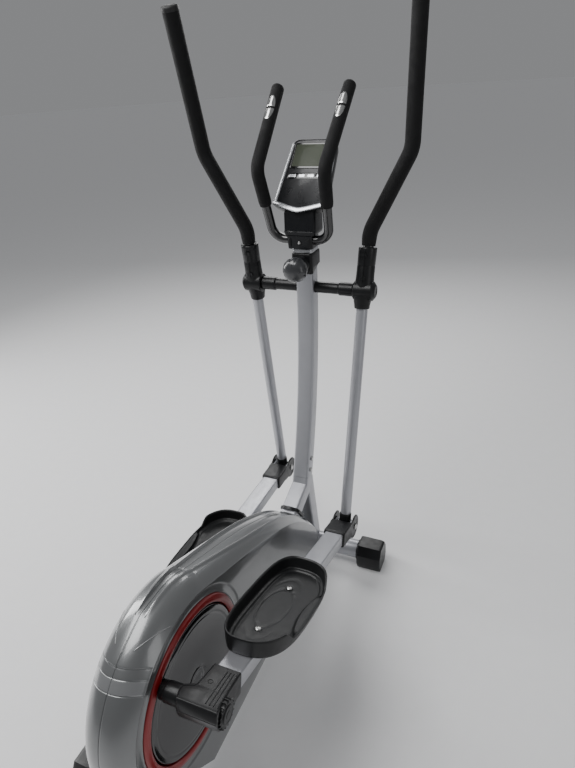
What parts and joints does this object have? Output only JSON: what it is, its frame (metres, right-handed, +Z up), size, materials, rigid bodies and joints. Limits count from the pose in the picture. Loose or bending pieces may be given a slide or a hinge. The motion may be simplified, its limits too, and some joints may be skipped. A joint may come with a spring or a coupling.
{
  "type": "elliptical trainer",
  "caption": "Elliptical trainer with a rear crank housing, swinging arms, foot rails with pedals, a fixed handlebar, a console and floor stabilisers.",
  "frame": {"origin": "on the floor, at the centre of the bounding box at rest", "axes": "+X to the user's right, +Y forward, from the crank housing to the mast, +Z up"},
  "size_m": [0.5738, 1.2381, 1.638],
  "materials": {
    "silver_paint": "satin silver paint",
    "black_paint": "gloss black paint",
    "steel": "zinc-plated steel",
    "cast": "machined cast iron",
    "shell": "glossy metallic dark grey moulding",
    "red_ring": "metallic red",
    "disc_black": "high gloss black",
    "black_plastic": "fine-grained black moulding",
    "silver_plastic": "silver lacquered plastic",
    "face_plastic": "dark grey lacquered plastic",
    "foam": "closed-cell foam sleeve",
    "rubber_black": "moulded rubber",
    "lcd": "grey-green display window"
  },
  "bodies": {
    "frame": {"main_frame": "silver_paint", "front_stabiliser": "silver_paint", "rear_stabiliser": "silver_paint", "front_caps": "black_plastic", "rear_caps": "black_plastic", "mast": "silver_paint", "mast_bolts": "steel", "swing_axle": "steel", "axle_sleeves": "black_plastic", "mast_shroud": "black_plastic", "handlebar": "black_paint", "handlebar_grips": "foam", "pulse_sensors": "steel", "handlebar_clamp": "black_plastic", "housing_left": "shell", "housing_right": "shell", "side_rings": "red_ring", "nose_collar": "black_plastic", "crank_bearings": "steel", "flywheel_axle": "steel", "drive_belt": "rubber_black", "console_back": "black_plastic", "console_face": "face_plastic", "console_trim": "silver_plastic", "console_lens": "lcd"},
    "wheel_left_body": {"wheel_left": "rubber_black"},
    "wheel_right_body": {"wheel_right": "rubber_black"},
    "button_1_body": {"button_1": "silver_plastic"},
    "button_2_body": {"button_2": "silver_plastic"},
    "button_3_body": {"button_3": "silver_plastic"},
    "button_4_body": {"button_4": "silver_plastic"},
    "knob_body": {"tension_knob": "black_plastic"},
    "magnet_body": {"magnet_bracket": "steel"},
    "crank_body": {"crank_axle": "steel", "crank_arms": "steel", "crank_discs": "disc_black", "hub_caps": "silver_plastic", "drive_pulley": "black_plastic"},
    "flywheel_body": {"flywheel": "cast"},
    "idler_body": {"idler_pulley": "steel"},
    "arm_right_body": {"swing_tube_right": "silver_paint", "swing_cover_right": "black_plastic", "swing_handle_right": "black_paint", "swing_grip_right": "foam"},
    "rail_right_body": {"rail_right": "silver_paint", "front_cover_right": "black_plastic", "rear_cover_right": "black_plastic", "pedal_right": "black_plastic", "pedal_screws_right": "steel", "pivot_bolts_right": "steel"},
    "arm_left_body": {"swing_tube_left": "silver_paint", "swing_cover_left": "black_plastic", "swing_handle_left": "black_paint", "swing_grip_left": "foam"},
    "rail_left_body": {"rail_left": "silver_paint", "front_cover_left": "black_plastic", "rear_cover_left": "black_plastic", "pedal_left": "black_plastic", "pedal_screws_left": "steel", "pivot_bolts_left": "steel"}
  },
  "joints": [
    {"name": "crank_spin", "type": "hinge", "parent": "frame", "child": "crank_body", "pos_m": [0, -0.3815, 0.368], "axis": [1, 0, 0], "continuous": true},
    {"name": "flywheel_spin", "type": "hinge", "parent": "frame", "child": "flywheel_body", "pos_m": [0, -0.0675, 0.33], "axis": [1, 0, 0], "continuous": true},
    {"name": "idler_spin", "type": "hinge", "parent": "frame", "child": "idler_body", "pos_m": [-0.018, -0.2027, 0.25787], "axis": [1, 0, 0], "continuous": true},
    {"name": "swing_right", "type": "hinge", "parent": "frame", "child": "arm_right_body", "pos_m": [0.165, 0.4775, 0.94], "axis": [1, 0, 0], "range_deg": [-2.3, 22.7]},
    {"name": "swing_left", "type": "hinge", "parent": "frame", "child": "arm_left_body", "pos_m": [-0.165, 0.4775, 0.94], "axis": [1, 0, 0], "range_deg": [-22.7, 2.3]},
    {"name": "rail_pivot_right", "type": "hinge", "parent": "arm_right_body", "child": "rail_right_body", "pos_m": [0.156, 0.30858, 0.24421], "axis": [1, 0, 0], "range_deg": [-5.2, 0.6]},
    {"name": "rail_pivot_left", "type": "hinge", "parent": "arm_left_body", "child": "rail_left_body", "pos_m": [-0.156, 0.54705, 0.22739], "axis": [1, 0, 0], "range_deg": [-0.6, 5.2]},
    {"name": "knob_turn", "type": "hinge", "parent": "frame", "child": "knob_body", "pos_m": [0, 0.4115, 1.013], "axis": [0, 1, 0], "range_deg": [0, 270]},
    {"name": "magnet_swing", "type": "hinge", "parent": "frame", "child": "magnet_body", "pos_m": [0, 0.0425, 0.248], "axis": [1, 0, 0], "range_deg": [0, 3.24]},
    {"name": "wheel_spin_left", "type": "hinge", "parent": "frame", "child": "wheel_left_body", "pos_m": [-0.212, 0.4465, 0.03], "axis": [1, 0, 0], "continuous": true},
    {"name": "wheel_spin_right", "type": "hinge", "parent": "frame", "child": "wheel_right_body", "pos_m": [0.212, 0.4465, 0.03], "axis": [1, 0, 0], "continuous": true},
    {"name": "press_button_1", "type": "slide", "parent": "frame", "child": "button_1_body", "axis": [0, 0.7071, -0.7071], "range_m": [0, 0.001], "stiffness_N_per_m": 800},
    {"name": "press_button_2", "type": "slide", "parent": "frame", "child": "button_2_body", "axis": [0, 0.7071, -0.7071], "range_m": [0, 0.001], "stiffness_N_per_m": 800},
    {"name": "press_button_3", "type": "slide", "parent": "frame", "child": "button_3_body", "axis": [0, 0.7071, -0.7071], "range_m": [0, 0.001], "stiffness_N_per_m": 800},
    {"name": "press_button_4", "type": "slide", "parent": "frame", "child": "button_4_body", "axis": [0, 0.7071, -0.7071], "range_m": [0, 0.001], "stiffness_N_per_m": 800}
  ],
  "couplings": [
    {"joint": "flywheel_spin", "follows": "crank_spin", "ratio": 6.5},
    {"joint": "idler_spin", "follows": "crank_spin", "ratio": -8.6667},
    {"joint": "swing_left", "follows": "swing_right", "ratio": -1},
    {"joint": "rail_pivot_right", "follows": "swing_right", "ratio": -0.2261},
    {"joint": "rail_pivot_left", "follows": "swing_right", "ratio": 0.2261},
    {"joint": "magnet_swing", "follows": "knob_turn", "ratio": 0.012}
  ]
}
